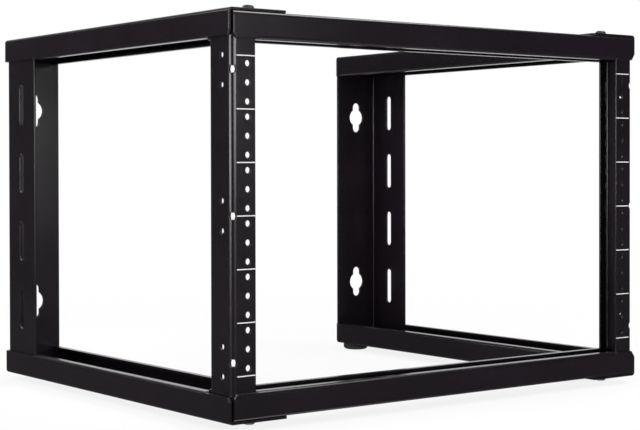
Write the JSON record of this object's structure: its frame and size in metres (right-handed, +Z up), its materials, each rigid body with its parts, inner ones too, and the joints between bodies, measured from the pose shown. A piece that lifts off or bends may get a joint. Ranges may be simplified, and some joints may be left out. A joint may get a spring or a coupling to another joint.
{
  "type": "wall-mount open frame rack",
  "caption": "Black steel open frame rack for a wall, with front posts drilled for rack equipment, lipped rails and angle rear posts with keyholes.",
  "frame": {"origin": "centre of the bounding box at floor level, under the rear feet", "axes": "+Z up, the front faces -Y, the wall is at +Y, +X to the right seen from the front"},
  "size_m": [0.505, 0.41, 0.3574],
  "materials": {
    "powder_coat": "satin black powder coat",
    "black_screw": "black coated",
    "plain_steel": "plain",
    "foot_rubber": "matt"
  },
  "bodies": {
    "root": {"left_top_rail": "powder_coat", "left_top_screw": "black_screw", "left_top_nut": "plain_steel", "left_bottom_rail": "powder_coat", "left_bottom_screw": "black_screw", "left_bottom_nut": "plain_steel", "left_front_post": "powder_coat", "left_rear_post": "powder_coat", "left_rear_foot": "foot_rubber", "right_top_rail": "powder_coat", "right_top_screw": "black_screw", "right_top_nut": "plain_steel", "right_bottom_rail": "powder_coat", "right_bottom_screw": "black_screw", "right_bottom_nut": "plain_steel", "right_front_post": "powder_coat", "right_rear_post": "powder_coat", "right_rear_foot": "foot_rubber", "front_top_rail": "powder_coat", "front_bottom_rail": "powder_coat"}
  },
  "joints": []
}
